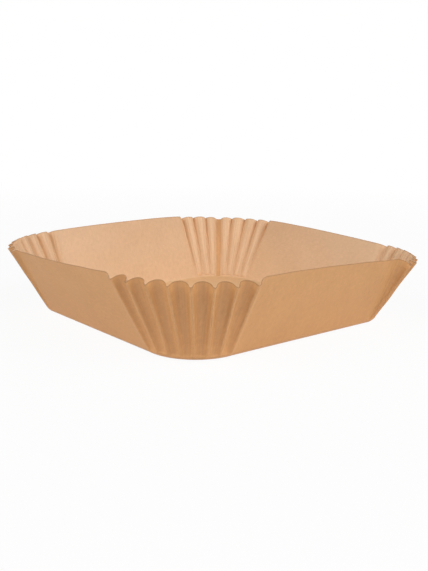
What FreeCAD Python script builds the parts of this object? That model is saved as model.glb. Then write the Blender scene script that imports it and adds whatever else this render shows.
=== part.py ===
"""Air fryer paper liner: a square tray pressed from one round-cornered sheet of baking paper.

The floor is a flat square with round corners. Four plain walls lean out from its straight folds.
Around each corner the surplus paper is gathered into flutes: rounded channels that bulge into the
tray, between sharp ridges that stand out. They fade to nothing at the fold, and both ends of each
wall curl out to the ridge beside them. The sheet was cut to the same margin all round its fold, so
the rim dips at the ridges, where the paper leans furthest, and rises at the channels and walls.

The flutes lie in planes that lean with the paper, which no sketch can hold, so the sheet is built
from Part's arcs and ruled surfaces: a band of faces between each two levels, on both sides of it.
The origin is the centre of the floor's underside, +Z is up, and lengths are in millimetres.
"""

import FreeCAD
import Part
import math
import os

from FreeCAD import Vector

NODE = "paper_liner"

SIZES = {
    "floor_width": 160.0,  # across the floor, from fold to opposite fold
    "corner_radius": 26.5,  # of the fold round each corner of the floor
    "wall_length": 46.0,  # from the fold to the rim, up the paper
    "near_lean": 30.0,  # degrees that the ridges lean out at the -X -Y corner
    "far_lean": 24.5,  # the same at the +X +Y corner
    "side_lean": 31.5,  # the same at the other two corners, which have spread
    "flutes": 7,  # round each corner
    "fullest_arc": 174.0,  # degrees that a flute's arc can reach before its ridges pinch shut
    "curl": 5.5,  # radius of the quarter turn in which a wall's ends curl out at the rim
    "curl_foot": 2.0,  # width of that curl at the fold, where it is flat
    "paper": 0.2,  # thickness of the sheet
}

BANDS = 6  # of faces from the fold to the rim
CROWDING = 2.2  # the power that draws those bands together towards the fold, where flutes fade out

# The corners in turn, anticlockwise from above: the direction of each from the centre, and its lean.
CORNERS = (
    (1, 1, "far_lean"),
    (-1, 1, "side_lean"),
    (-1, -1, "near_lean"),
    (1, -1, "side_lean"),
)


def make_sheet(doc):
    """The spreadsheet of driving sizes, one named cell each."""
    sheet = doc.addObject("Spreadsheet::Sheet", "Sizes")
    for row, (name, value) in enumerate(SIZES.items(), start=1):
        sheet.set(f"A{row}", name)
        sheet.set(f"B{row}", str(value))
        sheet.setAlias(f"B{row}", name)
    return sheet


def half_angle(stretch, limit):
    """Half the angle of an arc that is this many times as long as its chord, up to a limit."""
    low, high = 0.0, limit
    for _ in range(40):
        middle = (low + high) / 2
        if middle < stretch * math.sin(middle):
            low = middle
        else:
            high = middle
    return low


class Corner:
    """One corner of the tray. A slant is a distance from the fold, measured up the ridges."""

    def __init__(self, sizes, side_x, side_y, lean_name):
        self.sizes = sizes
        self.lean = math.radians(getattr(sizes, lean_name))
        self.step = math.pi / 2 / sizes.flutes
        first = math.atan2(side_y, side_x) - math.pi / 4
        self.ridges = [first + self.step * i for i in range(sizes.flutes + 1)]
        self.channels = [ridge + self.step / 2 for ridge in self.ridges[:-1]]
        arm = sizes.floor_width / 2 - sizes.corner_radius
        self.axis = Vector(side_x * arm, side_y * arm, 0)

    def point(self, angle, reach, height, along=0.0):
        """A point seen from the corner's axis: its direction, reach, height and step sideways."""
        outward = Vector(math.cos(angle), math.sin(angle), 0)
        sideways = Vector(-math.sin(angle), math.cos(angle), 0)
        return self.axis + outward * reach + sideways * along + Vector(0, 0, height)

    def raised(self, angle, slant, rise, reach, along=0.0):
        """A point that stands into the tray by a rise, square to the lean of the paper."""
        reach -= rise * math.cos(self.lean)
        return self.point(angle, reach, slant * math.cos(self.lean) + rise * math.sin(self.lean), along)

    def fold(self, thickness):
        """The strokes of the fold: a wall's end, an arc below each flute, and the next wall's end."""
        radius = self.sizes.corner_radius - thickness * math.tan(math.pi / 4 - self.lean / 2)
        marks = [self.point(angle, radius, thickness) for angle in self.ridges]
        first = self.point(self.ridges[0], radius, thickness, -self.sizes.curl_foot)
        last = self.point(self.ridges[-1], radius, thickness, self.sizes.curl_foot)
        middles = [self.point(angle, radius, thickness) for angle in self.channels]
        return [(first, None, marks[0]), *zip(marks, middles, marks[1:]), (marks[-1], None, last)]

    def gathered(self, slant, thickness):
        """The strokes of one level of the wall: a curl, an arc for each flute, and the next curl."""
        reach = self.sizes.corner_radius + slant * math.sin(self.lean)
        chord = 2 * reach * math.sin(self.step / 2)
        flat_length = (self.sizes.corner_radius + slant) * self.step
        spread = half_angle(flat_length / chord, math.radians(self.sizes.fullest_arc) / 2)
        radius = chord / 2 / math.sin(spread)
        crest = radius * (1 - math.cos(spread)) + thickness

        # The paper's inner side meets itself above each ridge, at this rise from it.
        narrowing = math.cos(self.lean) * math.tan(self.step / 2)
        slope = chord * narrowing / 2 - radius * math.cos(spread)
        bend = 1 + narrowing**2
        web = (slope + math.sqrt(slope**2 + bend * thickness * (2 * radius + thickness))) / bend

        mid_reach = reach * math.cos(self.step / 2)
        middles = [self.raised(angle, slant, crest, mid_reach) for angle in self.channels]
        marks = [
            self.point(
                angle,
                reach - web * math.cos(self.lean) / math.cos(self.step / 2),
                slant * math.cos(self.lean) + web * math.sin(self.lean),
            )
            for angle in self.ridges
        ]
        start, start_middle = self.curl(self.ridges[0], -1, slant, thickness, reach)
        end, end_middle = self.curl(self.ridges[-1], 1, slant, thickness, reach)
        first = (start, start_middle, marks[0])
        last = (marks[-1], end_middle, end)
        return [first, *zip(marks, middles, marks[1:]), last]

    def curl(self, angle, turn, slant, thickness, reach):
        """Where a wall starts to curl out to its ridge, and the middle of that arc."""
        share = slant / self.sizes.wall_length
        rise = self.sizes.curl * share
        width = rise + self.sizes.curl_foot * (1 - share)
        radius = (width**2 + rise**2) / (2 * rise)
        half = math.atan2(rise, width)
        start = self.raised(angle, slant, rise + thickness, reach, turn * width)
        drop = rise - radius + (radius + thickness) * math.cos(half)
        along = width - (radius + thickness) * math.sin(half)
        return start, self.raised(angle, slant, drop, reach, turn * along)


def level(corners, slant, thickness):
    """The edges all round the tray at one slant, on the outer side or a thickness further in."""
    groups = [c.gathered(slant, thickness) if slant else c.fold(thickness) for c in corners]
    strokes = []
    for here, following in zip(groups, groups[1:] + groups[:1]):
        strokes += here
        strokes.append((here[-1][-1], None, following[0][0]))
    edges = []
    for start, middle, end in strokes:
        curve = Part.LineSegment(start, end) if middle is None else Part.Arc(start, middle, end)
        edges.append(curve.toShape())
    return edges


def band(lower, upper):
    """The faces between two levels, one for each pair of their edges."""
    return [Part.makeRuledSurface(low, high) for low, high in zip(lower, upper)]


def liner_shape(sizes):
    """The solid sheet: bands up both of its sides, both sides of the floor, and the rim's edge."""
    corners = [Corner(sizes, *corner) for corner in CORNERS]
    slants = [sizes.wall_length * (i / BANDS) ** CROWDING for i in range(BANDS + 1)]
    faces = []
    rims = []
    for thickness in (0, sizes.paper):
        levels = [level(corners, slant, thickness) for slant in slants]
        faces.append(Part.Face(Part.Wire(levels[0])))
        for lower, upper in zip(levels, levels[1:]):
            faces += band(lower, upper)
        rims.append(levels[-1])
    faces += band(*rims)
    return Part.Solid(Part.Shell(faces))


def make_liner(doc, sizes):
    """The liner's own object in the document."""
    liner = doc.addObject("Part::Feature", "PaperLiner")
    liner.Label = NODE
    liner.Shape = liner_shape(sizes)
    return liner


def check(doc, parts):
    """Stop if an object failed to build or a sub-part isn't one valid closed solid."""
    failed = [item.Name for item in doc.Objects if {"Invalid", "Error"} & set(item.State)]
    if failed:
        raise RuntimeError(f"failed objects: {failed}")
    for part in parts:
        shape = part.Shape
        if shape.isNull() or not shape.isValid() or not shape.isClosed() or len(shape.Solids) != 1:
            raise RuntimeError(f"{part.Label} is not one valid closed solid")


def main():
    doc = FreeCAD.newDocument("PaperLiner")
    sizes = make_sheet(doc)
    doc.recompute()
    liner = make_liner(doc, sizes)
    doc.recompute()
    check(doc, [liner])
    os.makedirs("parts", exist_ok=True)
    liner.Shape.exportStep(f"parts/{liner.Label}.step")


main()
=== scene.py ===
"""The looks of the air fryer paper liner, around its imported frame.

One piece, the pressed sheet itself, replaces the frame's solid. It has the frame's floor, paper and
gathers, with what handling has done to the real one: each corner leans its own way, the walls bow
a little, the fold is round, the ridges are soft, and one of them has opened into a groove.
Lengths of the form are in millimetres, and those of the materials and the stage in metres.
"""

import math

import bpy
import numpy as np
from mathutils import Matrix, Vector, noise


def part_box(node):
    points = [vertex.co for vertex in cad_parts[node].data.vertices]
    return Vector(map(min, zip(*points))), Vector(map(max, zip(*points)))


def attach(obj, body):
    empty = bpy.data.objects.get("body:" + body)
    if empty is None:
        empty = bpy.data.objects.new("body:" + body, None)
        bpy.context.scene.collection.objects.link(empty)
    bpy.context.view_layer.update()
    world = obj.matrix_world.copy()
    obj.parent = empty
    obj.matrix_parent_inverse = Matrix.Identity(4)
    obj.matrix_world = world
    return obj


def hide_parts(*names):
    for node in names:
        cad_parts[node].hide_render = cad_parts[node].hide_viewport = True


MM = 0.001

# The sheet. Its floor and paper have the sizes of the frame's own source, and its fold is a little
# rounder at the corners.
FLOOR_HALF = 80.0  # from the centre of the floor to the middle of a fold
CORNER_RADIUS = 28.5  # of the fold round each corner of the floor
FLUTES = 7  # round each corner
CURL_FOOT = 2.0  # width at the fold of the curl in which a wall's end meets its ridge
THICKNESS = 0.2
STEP = math.pi / 2 / FLUTES
ARM = FLOOR_HALF - CORNER_RADIUS

# The corners, anticlockwise from above. The first and last of a corner's ridges adjoin a wall.
#   side: the corner's direction from the centre
#   length: of the paper up its ridges
#   leans: degrees that the first ridge leans out, what the middle ones add, and the last one's
#   turns: degrees that the first and last ridge turn towards the middle ones at the rim
#   foot: the share of those turns that they have at the fold
#   curls, depths: width and depth at the rim of the curls into the first and last ridge
#   bow: degrees that the wall after the corner leans out more halfway along
#   fold_reach: how far the round of the fold spreads each side of its line
#   fullest: half the degrees that a flute's arc can reach, at its foot and at the rim
#   ridge_share: the ridge's share, at the rim, of the bend from a ridge to the crest of a flute
#   groove: the number of a ridge that has opened into a groove, if one has
CORNERS = (
    {
        "side": (1, 1),
        "length": 47.5,
        "leans": (31.5, 1, 27.5),
        "turns": (5, 5),
        "foot": 1.25,
        "curls": (7, 8.5),
        "depths": (4.5, 5.5),
        "bow": -8,
        "fold_reach": 1.6,
        "fullest": (40, 67),
        "ridge_share": 0.1,
        "groove": 4,
    },
    {
        "side": (-1, 1),
        "length": 46,
        "leans": (26.5, -0.5, 31),
        "turns": (7, 5.5),
        "foot": 0.6,
        "curls": (7.5, 4.5),
        "depths": (4, 2.5),
        "bow": 1.5,
        "fold_reach": 2.5,
        "fullest": (42, 70),
        "ridge_share": 0.12,
        "groove": None,
    },
    {
        "side": (-1, -1),
        "length": 48.5,
        "leans": (29.5, -1, 30),
        "turns": (0.5, 4),
        "foot": 0.1,
        "curls": (9.5, 10),
        "depths": (3.5, 5),
        "bow": -1.5,
        "fold_reach": 3.5,
        "fullest": (52, 76),
        "ridge_share": 0.2,
        "groove": None,
    },
    {
        "side": (1, -1),
        "length": 44,
        "leans": (31.5, 0, 31),
        "turns": (13, 5),
        "foot": 0.8,
        "curls": (6.5, 8),
        "depths": (6.5, 3.5),
        "bow": -4.5,
        "fold_reach": 2.5,
        "fullest": (42, 70),
        "ridge_share": 0.14,
        "groove": None,
    },
)

# How the mesh is divided.
HALF_FLUTE = (0.0, 0.035, 0.07, 0.11, 0.17, 0.26, 0.38, 0.52, 0.68, 0.84)  # from ridge to middle
GROOVE_PARTS = (0.0, 0.1, 0.5, 0.9)  # from one edge of the groove to the other
CURL_PARTS = 12
CURL_CROWDING = 1.4  # the power that draws those together towards the ridge
WALL_PARTS = 30
FOLD_ROWS = 8
UPPER_ROWS = 30
ROW_CROWDING = 1.25  # the power that draws those together towards the fold
FLOOR_RINGS = (0.97, 0.85, 0.65, 0.42, 0.2, 0.06)  # from the fold to the middle of the floor

# The gathers.
CURL_RIDGE = 0.18  # the least share that a ridge has of the curl beside it
FOOT_RIDGE = 0.12  # what a ridge's share gains at the fold
GROOVE_DEPTH = 1.5  # at the rim, below the groove's edges
GROOVE_WIDTHS = (3.3, 4.5)  # at its foot and at the rim
FADE = (0.8, 1.25)  # fold reaches up the slant between which the flutes grow to their full depth
FLAT_TURN = 0.7  # of a ridge's turn that lies in the flat sheet
LEAST_ANGLE = 1e-4  # these two stand in for nothing where something is divided by it
LEAST_RISE = 1e-6

# Slight waves of the paper.
WAVE_LENGTH = 17.0  # about half the way from crest to crest
WAVE_DEPTH = 0.35
WAVE_START = (3.0, 14.0)  # heights between which they grow

UP = np.array([0.0, 0.0, 1.0])


def smooth(x):
    """A smooth step from 0 to 1."""
    x = np.clip(x, 0, 1)
    return x * x * (3 - 2 * x)


def slants(length, reach):
    """The slants of the rows: through the fold, then up to the rim."""
    fold = np.linspace(-reach, reach, FOLD_ROWS + 1)
    shares = np.linspace(0, 1, UPPER_ROWS + 1)[1:] ** ROW_CROWDING
    return np.concatenate([fold, reach + (length - reach) * shares])


def ramp(q, reach):
    """The slant q, but zero on the floor, with a soft start through the fold."""
    soft = (q + reach) ** 2 / (4 * reach)
    return np.where(q < -reach, 0, np.where(q < reach, soft, q))


def section(q, lean, reach):
    """Across the fold: how far out and up the paper is at a slant, and the slope of its path."""
    turn = math.pi / 2 - lean
    radius = reach / np.tan(turn / 2)
    slope = turn * np.clip((q + reach) / (2 * reach), 0, 1)
    out = np.where(q < reach, -reach + radius * np.sin(slope), q * np.sin(lean))
    out = np.where(q < -reach, q, out)
    up = np.where(q < reach, radius * (1 - np.cos(slope)), q * np.cos(lean))
    return out, up, slope


def half_angle(stretch, limit):
    """Half the angle of an arc that is this many times as long as its chord, up to a limit."""
    low, high = np.zeros_like(stretch), np.zeros_like(stretch) + limit
    for _ in range(40):
        middle = (low + high) / 2
        short = middle < stretch * np.sin(middle)
        low, high = np.where(short, middle, low), np.where(short, high, middle)
    return np.maximum(low, LEAST_ANGLE)


def two_arcs(v, share, turn, radius, width, height):
    """How far along and how high a bend is at v, from 0 where it leaves a ridge to 1 at its crest.

    The ridge has this share of the bend, which turns one way by an angle and then back by it.
    """
    ridge, rest = radius * share, radius * (1 - share)
    ridge_arc, rest_arc = v / share * turn, (1 - v) / (1 - share) * turn
    on_ridge = v < share
    along = np.where(on_ridge, ridge * np.sin(ridge_arc), width - rest * np.sin(rest_arc))
    below = rest * (1 - np.cos(rest_arc))
    rise = np.where(on_ridge, ridge * (1 - np.cos(ridge_arc)), height - below)
    return along, rise


def flat_dirs(angle):
    """The outward and sideways directions, in plan, at an angle or at several."""
    across, along, level = np.cos(angle), np.sin(angle), np.zeros_like(angle)
    return np.stack([across, along, level], -1), np.stack([-along, across, level], -1)


def into_tray(outward, slope):
    """The directions square to the paper, towards the food."""
    return -outward * np.sin(slope)[:, None] + UP * np.cos(slope)[:, None]


def column(point, flat, margin, food_side=None):
    """A column of the sheet, from the floor to the rim.

    It holds points of the outer side, where they lay in the flat sheet, how far that was from the
    cut edge, and 1 where the side towards the food looks like that side, or 0 like the outer one.
    """
    return point, flat, margin, np.ones_like(margin) if food_side is None else food_side


class Corner:
    """One gathered corner. A slant, q, is a distance up the paper from the fold's line."""

    def __init__(self, facts):
        side_x, side_y = facts["side"]
        self.axis = np.array([side_x * ARM, side_y * ARM, 0.0])
        self.first = math.atan2(side_y, side_x) - math.pi / 4
        self.leans = [math.radians(x) for x in facts["leans"]]
        self.turns = [math.radians(x) for x in facts["turns"]]
        self.curls = facts["curls"]
        self.depths = facts["depths"]
        self.length = facts["length"]
        self.bow = math.radians(facts["bow"])
        self.fold_reach = facts["fold_reach"]
        self.q = slants(self.length, self.fold_reach)
        self.margin = self.length - self.q
        self.gathered = ramp(self.q, self.fold_reach)
        self.climb = self.gathered / self.length
        self.swing = facts["foot"] + (1 - facts["foot"]) * self.climb
        self.ridge_share = facts["ridge_share"] + FOOT_RIDGE * (1 - self.climb)
        foot_spread, rim_spread = (math.radians(x) for x in facts["fullest"])
        self.fullest = foot_spread + (rim_spread - foot_spread) * self.climb
        self.opened_ridge = facts["groove"]

    def lean(self, share):
        """How far the paper leans out, at a share of the way round the corner."""
        start, middle, end = self.leans
        return start + (end - start) * share + middle * 4 * share * (1 - share)

    def turn(self, share):
        """How far what stands at that share turns towards the middle of the corner."""
        return (self.turns[0] * (1 - share) - self.turns[1] * share) * self.swing

    def opened(self, index):
        """How wide a ridge has opened: nothing, but for the groove."""
        if index != self.opened_ridge:
            return np.zeros_like(self.q)
        foot, rim = GROOVE_WIDTHS
        return foot + (rim - foot) * self.climb

    def ridge(self, index, side=0):
        """A ridge's line, or its edge on a side of it (-1 or 1) if it has opened into a groove."""
        share = index / FLUTES
        turn = self.turn(share)
        outward, sideways = flat_dirs(self.first + STEP * index + turn)
        out, up, _ = section(self.q, self.lean(share), self.fold_reach)
        reach = (CORNER_RADIUS + out) / np.cos(turn)
        offset = self.opened(index) / 2 * side
        return self.axis + outward * reach[:, None] + sideways * offset[:, None] + UP * up[:, None]

    def flat_ridge(self, index, side=0):
        """Where that line lay in the flat sheet."""
        outward, _ = flat_dirs(self.first + STEP * index + self.turn(index / FLUTES) * FLAT_TURN)
        _, sideways = flat_dirs(self.first + STEP * index)
        line = self.axis + outward * (CORNER_RADIUS + self.q)[:, None]
        return line + sideways * (self.opened(index) / 2 * side)[:, None]

    def spread(self, index, half_chord, out):
        """Half the angle of a flute's arc, for its share of the paper round the corner."""
        spare = (CORNER_RADIUS + out) * sum(self.turns) * self.swing
        half_length = ((CORNER_RADIUS + self.gathered) * STEP * FLUTES - spare) / FLUTES / 2
        half_length = half_length - (self.opened(index) + self.opened(index + 1)) / 4
        stretch = np.maximum(np.where(self.q < 0, 1, half_length / half_chord), 1.0)
        return half_angle(stretch, self.fullest)

    def flute(self, index):
        """The columns of one flute, from its first ridge up to but not its second."""
        start, end = self.ridge(index, 1), self.ridge(index + 1, -1)
        start_flat, end_flat = self.flat_ridge(index, 1), self.flat_ridge(index + 1, -1)
        middle = (index + 0.5) / FLUTES
        outward, _ = flat_dirs(self.first + STEP * FLUTES * middle + self.turn(middle))
        out, _, slope = section(self.q, self.lean(middle), self.fold_reach)
        rise_dir = into_tray(outward, slope)
        half_chord = np.linalg.norm(end - start, axis=1) / 2
        spread = self.spread(index, half_chord, out)
        radius = half_chord / np.sin(spread)
        crest = radius * (1 - np.cos(spread))
        fade = smooth((self.q / self.fold_reach - FADE[0]) / (FADE[1] - FADE[0]))
        sag = (CORNER_RADIUS + out) * (1 - math.cos(STEP / 2)) * (1 - fade)
        shares = [v / 2 for v in HALF_FLUTE]
        columns = []
        for share in [*shares, 0.5, *(1 - x for x in shares[:0:-1])]:
            v = 2 * min(share, 1 - share)
            along, rise = two_arcs(v, self.ridge_share, spread, radius, half_chord, crest)
            place = (1 if share > 0.5 else -1) * (1 - along / half_chord)
            point = (start + end) / 2 + (end - start) / 2 * place[:, None]
            point = point + rise_dir * (rise * fade)[:, None]
            point = point + outward * (sag * (1 - place**2))[:, None]
            columns.append(column(point, start_flat + (end_flat - start_flat) * share, self.margin))
        if index + 1 == self.opened_ridge:
            columns += self.groove(index + 1, rise_dir)
        return columns

    def groove(self, index, rise_dir):
        """The columns of a ridge that has opened, from its first edge up to but not its second."""
        start, start_flat = self.ridge(index, -1), self.flat_ridge(index, -1)
        across, flat_across = self.ridge(index, 1) - start, self.flat_ridge(index, 1) - start_flat
        columns = []
        for share in GROOVE_PARTS:
            sunk = GROOVE_DEPTH * self.climb * (share > 0)
            point = start + across * share - rise_dir * sunk[:, None]
            food_side = np.where(self.q > 0, share == 0, 1)
            columns.append(column(point, start_flat + flat_across * share, self.margin, food_side))
        return columns

    def curl(self, last):
        """The columns of a wall's end, from the ridge to where the wall is plain."""
        index, side = (FLUTES, 1) if last else (0, -1)
        outward, sideways = flat_dirs(self.first + STEP * index)
        _, _, slope = section(self.q, self.lean(index / FLUTES), self.fold_reach)
        rise_dir = into_tray(outward, slope)
        height = np.maximum(self.depths[last] * self.climb, LEAST_RISE)
        width = self.curls[last] * self.climb + CURL_FOOT * (1 - self.climb)
        radius = (width**2 + height**2) / (2 * height)
        turn = 2 * np.arctan2(height, width)
        ridge_share = np.maximum(self.ridge_share, CURL_RIDGE)
        start, start_flat = self.ridge(index), self.flat_ridge(index)
        columns = []
        for part in range(CURL_PARTS + 1):
            v = (part / CURL_PARTS) ** CURL_CROWDING
            along, rise = two_arcs(v, ridge_share, turn, radius, width, height)
            aside = sideways * (side * along)[:, None]
            point = start + rise_dir * rise[:, None] + aside
            columns.append(column(point, start_flat + aside, self.margin))
        return columns if last else columns[::-1]


def wall(here, there):
    """The columns of the plain wall between two corners, without its ends."""
    outward, sideways = flat_dirs(here.first + STEP * FLUTES)
    (start, start_flat, *_), (end, end_flat, *_) = here.curl(True)[-1], there.curl(False)[0]
    start_along, end_along = (start - here.axis) @ sideways, (end - here.axis) @ sideways
    columns = []
    for part in range(1, WALL_PARTS):
        t = part / WALL_PARTS
        length = here.length + (there.length - here.length) * t
        reach = here.fold_reach + (there.fold_reach - here.fold_reach) * t
        q = slants(length, reach)
        lean = here.leans[2] + (there.leans[0] - here.leans[2]) * t + here.bow * 4 * t * (1 - t)
        out, up, slope = section(q, lean, reach)
        depth = here.depths[1] + (there.depths[0] - here.depths[1]) * t
        rise = depth * ramp(q, reach) / length
        along = start_along + (end_along - start_along) * t
        base = here.axis + outward * (CORNER_RADIUS + out - rise * np.sin(slope))[:, None]
        point = base + UP * (up + rise * np.cos(slope))[:, None] + sideways * along[:, None]
        columns.append(column(point, start_flat + (end_flat - start_flat) * t, length - q))
    return columns


def sheet_grid():
    """What all columns of the sheet hold, as rows from the middle of the floor to the rim."""
    corners = [Corner(facts) for facts in CORNERS]
    columns = []
    for here, there in zip(corners, corners[1:] + corners[:1]):
        columns += here.curl(False)[:-1]
        for index in range(FLUTES):
            columns += here.flute(index)
        columns += here.curl(True)
        columns += wall(here, there)
    points, flats, margins, food_sides = (np.array(rows).swapaxes(0, 1) for rows in zip(*columns))
    rings = np.array(FLOOR_RINGS[::-1])
    points, flats = (np.concatenate([x[0] * rings[:, None, None], x]) for x in (points, flats))
    margins, food_sides = (
        np.concatenate([np.repeat(x[:1], len(rings), axis=0), x]) for x in (margins, food_sides)
    )
    return points, flats, margins, food_sides


def inward_normals(points):
    """The unit normals of the grid, on the side that holds the food."""
    along = np.roll(points, -1, axis=1) - np.roll(points, 1, axis=1)
    across = np.gradient(points, axis=0)
    normal = np.cross(across, along)
    return normal / np.linalg.norm(normal, axis=2, keepdims=True)


def waved(points, flats):
    """The sheet's points with its slight waves, which leave the floor and its fold flat."""
    waves = np.zeros(points.shape[:2])
    for place in np.ndindex(waves.shape):
        waves[place] = noise.noise(Vector(flats[place]) / WAVE_LENGTH)
    height = smooth((points[:, :, 2] - WAVE_START[0]) / (WAVE_START[1] - WAVE_START[0]))
    return points + inward_normals(points) * (waves * height * WAVE_DEPTH)[:, :, None]


def sheet_faces(rows, count):
    """The faces of the sheet, and 1 for those of its cut edge, whose material is the second.

    They are both of its sides, the edge between them, and a fan in the middle of each floor.
    """
    shift = rows * count  # from a point of the outer side to the one on the side with the food
    index = np.arange(shift).reshape(rows, count)
    after = np.roll(index, -1, axis=1)
    outer = np.stack([index[:-1], after[:-1], after[1:], index[1:]], -1).reshape(-1, 4)
    inner = outer[:, ::-1] + shift
    edge = np.stack([index[-1], after[-1], after[-1] + shift, index[-1] + shift], -1)
    fans = [(2 * shift, b, a) for a, b in zip(index[0], after[0])]
    fans += [(2 * shift + 1, a + shift, b + shift) for a, b in zip(index[0], after[0])]
    faces = [[int(i) for i in face] for face in [*outer, *inner, *edge, *fans]]
    edge_start = len(outer) + len(inner)
    slots = np.zeros(len(faces), np.int32)
    slots[edge_start : edge_start + count] = 1
    return faces, slots


def add_values(mesh, name, kind, key, values):
    """An attribute of the mesh's points, for its material to read."""
    attribute = mesh.attributes.new(name, kind, "POINT")
    attribute.data.foreach_set(key, values.astype(np.float32).ravel())


def make_sheet(name):
    """The closed sheet: both of its sides and its cut edge."""
    points, flats, margins, food_sides = sheet_grid()
    outer = waved(points, flats)
    inner = outer + inward_normals(outer) * THICKNESS
    rows, count = margins.shape
    middles = [[0.0, 0.0, outer[0, 0, 2]], [0.0, 0.0, inner[0, 0, 2]]]
    verts = np.concatenate([outer.reshape(-1, 3), inner.reshape(-1, 3), middles]) * MM
    faces, slots = sheet_faces(rows, count)
    mesh = bpy.data.meshes.new(name)
    mesh.from_pydata(verts.tolist(), [], faces)
    mesh.polygons.foreach_set("material_index", slots)
    mesh.polygons.foreach_set("use_smooth", np.ones(len(faces), bool))

    flat = np.concatenate([flats.reshape(-1, 3), flats.reshape(-1, 3), np.zeros((2, 3))])
    margin = np.concatenate([margins.ravel(), margins.ravel(), [FLOOR_HALF, FLOOR_HALF]])
    food_side = np.concatenate([np.zeros(margins.size), food_sides.ravel(), [0, 1]])
    add_values(mesh, "flat", "FLOAT_VECTOR", "vector", flat * MM)
    add_values(mesh, "margin", "FLOAT", "value", margin * MM)
    add_values(mesh, "food_side", "FLOAT", "value", food_side)

    # Shading breaks at the cut edge, where both ends of a line lie on the rim.
    ends = np.empty(len(mesh.edges) * 2, np.int32)
    mesh.edges.foreach_get("vertices", ends)
    on_rim = (ends % margins.size >= margins.size - count) & (ends < 2 * margins.size)
    mesh.edges.foreach_set("use_edge_sharp", on_rim.reshape(-1, 2).all(1))
    mesh.validate()
    mesh.update()
    piece = bpy.data.objects.new(name, mesh)
    bpy.context.scene.collection.objects.link(piece)
    return piece


def linear(red, green, blue):
    """A colour as seen on screen, from 0 to 255, as the shader wants it."""
    values = [x / 255 for x in (red, green, blue)]
    return tuple(x / 12.92 if x < 0.04045 else ((x + 0.055) / 1.055) ** 2.4 for x in values)


# The paper's colours: the dark and the light one of each place.
OUTSIDE = linear(203, 147, 87), linear(217, 161, 100)
# The food side is paler partly in its own colour and partly by a painted sheen.
FOOD_SIDE_WITH_SHEEN = linear(216, 175, 132), linear(230, 189, 146)
# The floor's warmer colour is painted bounce light from the walls round it.
FLOOR_BOUNCE = linear(224, 181, 129), linear(238, 195, 143)
EDGE = linear(168, 124, 82), linear(188, 143, 100)
RIM = linear(184, 132, 79), linear(188, 147, 111)  # outside, and on the side with the food
RIM_LINE = 0.0008  # m from the cut edge that the rim's darker line fades out in
FLOOR_BOUNCE_START = (0.046, 0.051)  # m from the cut edge over which the floor's colour comes in

# How much each layer of noise changes the paper's shade.
CLOUDS, FORMATION, STREAKS, FIBRES = 0.9, 1.6, 1.1, 1.3
FIBRE_LAYERS = ((12, 2600), (74, 2300), (133, 2900))  # degrees that they turn, and scale

# Painted light and shade of fine crease lines up the flutes, as streaks in the paper's colour.
CREASES = 48  # how closely they lie, a radian
CREASE_CHANGE = 25  # how fast they change up the paper, a metre
PAINTED_CREASE_SHADES = (2.4, 5.0)  # how much they change the shade outside, and on the food side
CREASE_START = 3.0  # mm past the plain walls and the fold over which they grow
CREASE_SHIFT = 7.0  # keeps the corners on one side from mirroring the others

# The paper's surface.
ROUGHNESS = (0.54, 0.7)
SPECULAR = 1.0
GRAIN_DEPTH = 0.00008  # m
GRAIN_STRENGTH = 0.25
GRAIN_FORMATION = 0.6  # of the paper's formation that shows in its grain


def new_material(name):
    """A material, with its node tree and its shader."""
    material = bpy.data.materials.new(name)
    material.use_nodes = True
    tree = material.node_tree
    return material, tree, tree.nodes["Principled BSDF"]


def node(tree, kind, **values):
    """A node with its settings, and its inputs by name where a value's name is one."""
    made = tree.nodes.new(kind)
    for name, value in values.items():
        if hasattr(made, name):
            setattr(made, name, value)
        else:
            made.inputs[name.replace("_", " ")].default_value = value
    return made


def maths(tree, operation, first, second=None, third=None):
    """The outcome of an operation on numbers or sockets."""
    made = node(tree, "ShaderNodeMath", operation=operation)
    for socket, value in zip(made.inputs, (first, second, third)):
        if value is None:
            continue
        if isinstance(value, (int, float)):
            socket.default_value = value
        else:
            tree.links.new(value, socket)
    return made.outputs["Value"]


def mix_colour(tree, factor, first, second):
    """A mix of two colours, each given as a colour or a socket."""
    made = node(tree, "ShaderNodeMix", data_type="RGBA")
    sockets = made.inputs[0], made.inputs[6], made.inputs[7]
    for socket, value in zip(sockets, (factor, first, second)):
        if isinstance(value, tuple):
            socket.default_value = (*value, 1)
        else:
            tree.links.new(value, socket)
    return made.outputs[2]


def grown(tree, source, start, end, least=0.0):
    """What grows from a least value to 1 while the source goes from a start to an end."""
    made = node(tree, "ShaderNodeMapRange", From_Min=start, From_Max=end, To_Min=least)
    tree.links.new(source, made.inputs["Value"])
    return made.outputs["Result"]


def stored(tree, name, output="Fac"):
    """What an attribute of the mesh holds."""
    return node(tree, "ShaderNodeAttribute", attribute_name=name).outputs[output]


def mapped_noise(tree, source, turn, stretch, scale, detail, roughness=0.5):
    """Noise over the flat sheet, turned and drawn out along one direction."""
    mapping = node(tree, "ShaderNodeMapping")
    mapping.inputs["Rotation"].default_value = (0, 0, math.radians(turn))
    mapping.inputs["Scale"].default_value = (1, 1 / stretch, 1)
    tree.links.new(source, mapping.inputs["Vector"])
    made = node(tree, "ShaderNodeTexNoise", Scale=scale, Detail=detail, Roughness=roughness)
    tree.links.new(mapping.outputs["Vector"], made.inputs["Vector"])
    return made.outputs["Fac"]


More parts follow.
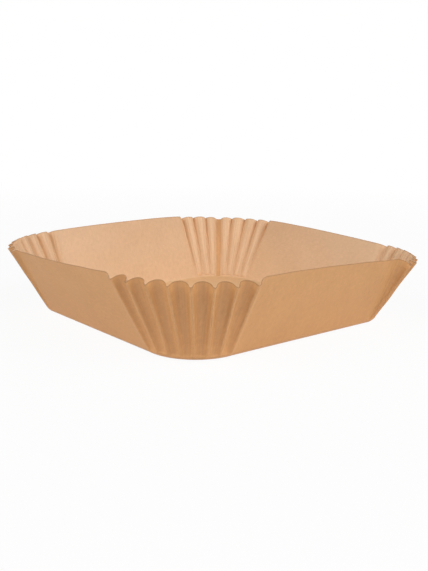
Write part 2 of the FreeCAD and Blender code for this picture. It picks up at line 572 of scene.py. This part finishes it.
def painted_crease_shade(tree, flat):
    """Painted light and shade of fine crease lines up the flutes: noise across them, in the
    gathered corners of the flat sheet.
    """
    place = node(tree, "ShaderNodeSeparateXYZ")
    tree.links.new(flat, place.inputs[0])
    across, along = (
        maths(tree, "SUBTRACT", maths(tree, "ABSOLUTE", place.outputs[axis]), ARM * MM)
        for axis in "XY"
    )
    squares = [maths(tree, "MULTIPLY", x, x) for x in (across, along)]
    reach = maths(tree, "SQRT", maths(tree, "ADD", *squares))
    angle = maths(tree, "ARCTAN2", along, across)
    spot = node(tree, "ShaderNodeCombineXYZ")
    tree.links.new(maths(tree, "MULTIPLY", angle, CREASES), spot.inputs[0])
    tree.links.new(maths(tree, "MULTIPLY", reach, CREASE_CHANGE), spot.inputs[1])
    side = maths(tree, "SIGN", place.outputs["X"])
    tree.links.new(maths(tree, "MULTIPLY", side, CREASE_SHIFT), spot.inputs[2])
    fine = node(tree, "ShaderNodeTexNoise", Scale=1.0, Detail=2, Roughness=0.6)
    tree.links.new(spot.outputs[0], fine.inputs["Vector"])
    fold, start = CORNER_RADIUS * MM, CREASE_START * MM
    past_walls = grown(tree, maths(tree, "MINIMUM", across, along), 0.0, start)
    amount = maths(tree, "MULTIPLY", past_walls, grown(tree, reach, fold, fold + start))
    return maths(tree, "MULTIPLY", maths(tree, "SUBTRACT", fine.outputs["Fac"], 0.5), amount)


def paper_material():
    """Unbleached baking paper, cloudy and fibrous; paler on the food side, partly as painted sheen.
    """
    material, tree, shader = new_material("brown_paper")
    flat = stored(tree, "flat", "Vector")
    food_side = stored(tree, "food_side")
    margin = stored(tree, "margin")
    clouds = mapped_noise(tree, flat, turn=90, stretch=1.6, scale=60, detail=3, roughness=0.55)
    formation = mapped_noise(tree, flat, turn=30, stretch=1.0, scale=420, detail=4, roughness=0.65)
    streaks = mapped_noise(tree, flat, turn=90, stretch=9.0, scale=1500, detail=3, roughness=0.6)
    fibres = 0.0
    for turn, scale in FIBRE_LAYERS:
        layer = mapped_noise(tree, flat, turn, stretch=6.0, scale=scale, detail=2)
        fibres = maths(tree, "ADD", fibres, layer)
    fibres = maths(tree, "DIVIDE", fibres, len(FIBRE_LAYERS))

    layers = (clouds, CLOUDS), (formation, FORMATION), (streaks, STREAKS), (fibres, FIBRES)
    shade = 0.5
    for layer, weight in layers:
        shade = maths(tree, "ADD", shade, maths(tree, "MULTIPLY_ADD", layer, weight, -weight / 2))
    outer, inner = PAINTED_CREASE_SHADES
    painted_crease_weight = maths(tree, "MULTIPLY_ADD", food_side, inner - outer, outer)
    # Fine crease lines are painted into the paper's shade as light and dark streaks, stronger on
    # the food side.
    shade = maths(tree, "MULTIPLY_ADD", painted_crease_shade(tree, flat), painted_crease_weight, shade)

    # The walls take the food side's colour, which holds a painted sheen.
    outside, walls, floor = (mix_colour(tree, shade, *x) for x in (OUTSIDE, FOOD_SIDE_WITH_SHEEN, FLOOR_BOUNCE))
    # Towards the middle the food side turns to the floor's warmer colour, painted bounce light.
    inside = mix_colour(tree, grown(tree, margin, *FLOOR_BOUNCE_START), walls, floor)
    plain = mix_colour(tree, food_side, outside, inside)
    rim = mix_colour(tree, food_side, *RIM)
    colour = mix_colour(tree, grown(tree, margin, 0.0, RIM_LINE), rim, plain)
    tree.links.new(colour, shader.inputs["Base Color"])

    grain = maths(tree, "ADD", maths(tree, "MULTIPLY", formation, GRAIN_FORMATION), fibres)
    bump = node(tree, "ShaderNodeBump", Strength=GRAIN_STRENGTH, Distance=GRAIN_DEPTH)
    tree.links.new(grain, bump.inputs["Height"])
    tree.links.new(bump.outputs["Normal"], shader.inputs["Normal"])
    smoothest, roughest = ROUGHNESS
    rough = maths(tree, "MULTIPLY_ADD", formation, roughest - smoothest, smoothest)
    tree.links.new(rough, shader.inputs["Roughness"])
    shader.inputs["Specular IOR Level"].default_value = SPECULAR
    return material


def edge_material():
    """The cut edge of the paper, a little darker than its faces."""
    material, tree, shader = new_material("brown_paper_edge")
    wear = mapped_noise(tree, stored(tree, "flat", "Vector"), 0, stretch=1.0, scale=900, detail=2)
    tree.links.new(mix_colour(tree, wear, *EDGE), shader.inputs["Base Color"])
    shader.inputs["Roughness"].default_value = 0.8
    return material


# The stage. Its floor is plain white to the camera by a share that grows to the whole further off.
STAGE_HALF = 6.0  # m
STAGE_GAP = 0.0001  # m under the liner
STAGE_COLOUR = (0.92, 0.92, 0.92, 1)
WHITE_SHOWN = 0.93  # that share under the liner
ALL_WHITE = (0.2, 0.9)  # m from the middle over which it grows

LAMPS = (  # degrees round to the right from the front, degrees up, and watts
    (12, 35, 8.2),
    (42, 35, 5.7),
    (-99, 35, 10.8),
    (-39, 30, 1.9),
)
LAMP_DISTANCE = 1.4
LAMP_SIZE = 1.1

VIEW = (-39.45, 12.15, 0.7)  # degrees of azimuth, elevation and roll
VIEW_DISTANCE = 0.4617
VIEW_HEIGHT = 20  # mm from the ground to the point that the camera turns about
LENS = 47.03  # mm, on a sensor of 36 mm along the picture's longer side
SHIFT = (0.0089, -0.0118)


def direct_rays(tree):
    """1 for what the camera sees, also in a reflection or through glass, and 0 for other light."""
    rays = node(tree, "ShaderNodeLightPath").outputs
    mirrored = maths(tree, "MAXIMUM", rays["Is Glossy Ray"], rays["Is Transmission Ray"])
    return maths(tree, "MAXIMUM", rays["Is Camera Ray"], mirrored)


def studio_floor(level):
    """A plain pale floor that keeps the liner's shadow."""
    mesh = bpy.data.meshes.new("studio_floor")
    signs = (-1, -1), (1, -1), (1, 1), (-1, 1)
    mesh.from_pydata([(x * STAGE_HALF, y * STAGE_HALF, level) for x, y in signs], [], [range(4)])
    floor = bpy.data.objects.new("studio_floor", mesh)
    bpy.context.scene.collection.objects.link(floor)
    material, tree, shader = new_material("studio_floor")
    shader.inputs["Base Color"].default_value = STAGE_COLOUR
    shader.inputs["Roughness"].default_value = 0.9
    white = node(tree, "ShaderNodeEmission", Strength=1.0)
    far = node(tree, "ShaderNodeVectorMath", operation="LENGTH")
    tree.links.new(node(tree, "ShaderNodeTexCoord").outputs["Object"], far.inputs[0])
    shown = grown(tree, far.outputs["Value"], *ALL_WHITE, least=WHITE_SHOWN)
    mixed = node(tree, "ShaderNodeMixShader")
    tree.links.new(maths(tree, "MULTIPLY", direct_rays(tree), shown), mixed.inputs[0])
    tree.links.new(shader.outputs[0], mixed.inputs[1])
    tree.links.new(white.outputs[0], mixed.inputs[2])
    tree.links.new(mixed.outputs[0], tree.nodes["Material Output"].inputs["Surface"])
    mesh.materials.append(material)


def white_world():
    """A backdrop that is plain white to the camera and gives no light."""
    world = bpy.data.worlds.new("studio")
    world.use_nodes = True
    tree = world.node_tree
    background = tree.nodes["Background"]
    background.inputs["Color"].default_value = (1, 1, 1, 1)
    tree.links.new(direct_rays(tree), background.inputs["Strength"])
    bpy.context.scene.world = world


def outward_dir(around, up):
    """The direction from the object to a camera or lamp."""
    across, ahead = math.sin(around) * math.cos(up), math.cos(around) * math.cos(up)
    return Vector((across, -ahead, math.sin(up)))


def soft_lamp(around, up, power):
    """A round soft box on a sphere about the tray, turned towards it."""
    lamp = bpy.data.lights.new("soft_box", "AREA")
    lamp.shape = "DISK"
    lamp.size = LAMP_SIZE
    lamp.energy = power
    made = bpy.data.objects.new("soft_box", lamp)
    facing = outward_dir(math.radians(around), math.radians(up))
    made.location = facing * LAMP_DISTANCE
    made.rotation_euler = facing.to_track_quat("Z", "Y").to_euler()
    bpy.context.scene.collection.objects.link(made)


def make_camera(target):
    """The camera, turned towards the target and then rolled."""
    azimuth, elevation, roll = (math.radians(x) for x in VIEW)
    back = outward_dir(azimuth, elevation)
    right = Vector((math.cos(azimuth), math.sin(azimuth), 0))
    upward = back.cross(right)
    x_axis = right * math.cos(roll) + upward * math.sin(roll)
    y_axis = upward * math.cos(roll) - right * math.sin(roll)
    place = target + back * VIEW_DISTANCE
    camera = bpy.data.cameras.new("camera")
    camera.lens = LENS
    camera.sensor_width = 36
    camera.shift_x, camera.shift_y = SHIFT
    camera.clip_start = 0.01
    made = bpy.data.objects.new("camera", camera)
    made.matrix_world = Matrix([*zip(x_axis, y_axis, back, place), (0, 0, 0, 1)])
    bpy.context.scene.collection.objects.link(made)
    bpy.context.scene.camera = made


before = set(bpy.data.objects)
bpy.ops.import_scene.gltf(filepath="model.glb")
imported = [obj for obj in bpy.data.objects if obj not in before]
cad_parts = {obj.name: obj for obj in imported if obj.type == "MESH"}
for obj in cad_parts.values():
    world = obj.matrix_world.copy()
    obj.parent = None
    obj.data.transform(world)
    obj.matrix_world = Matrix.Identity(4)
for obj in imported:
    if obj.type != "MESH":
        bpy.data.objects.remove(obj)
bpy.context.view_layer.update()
lowest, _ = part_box("paper_liner")

liner = make_sheet("paper_liner_sheet")
liner.data.materials.append(paper_material())
liner.data.materials.append(edge_material())
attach(liner, "root")
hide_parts("paper_liner")

studio_floor(lowest.z - STAGE_GAP)
white_world()
for lamp in LAMPS:
    soft_lamp(*lamp)
make_camera(Vector((0, 0, VIEW_HEIGHT * MM)))
bpy.context.scene.view_settings.view_transform = "Standard"
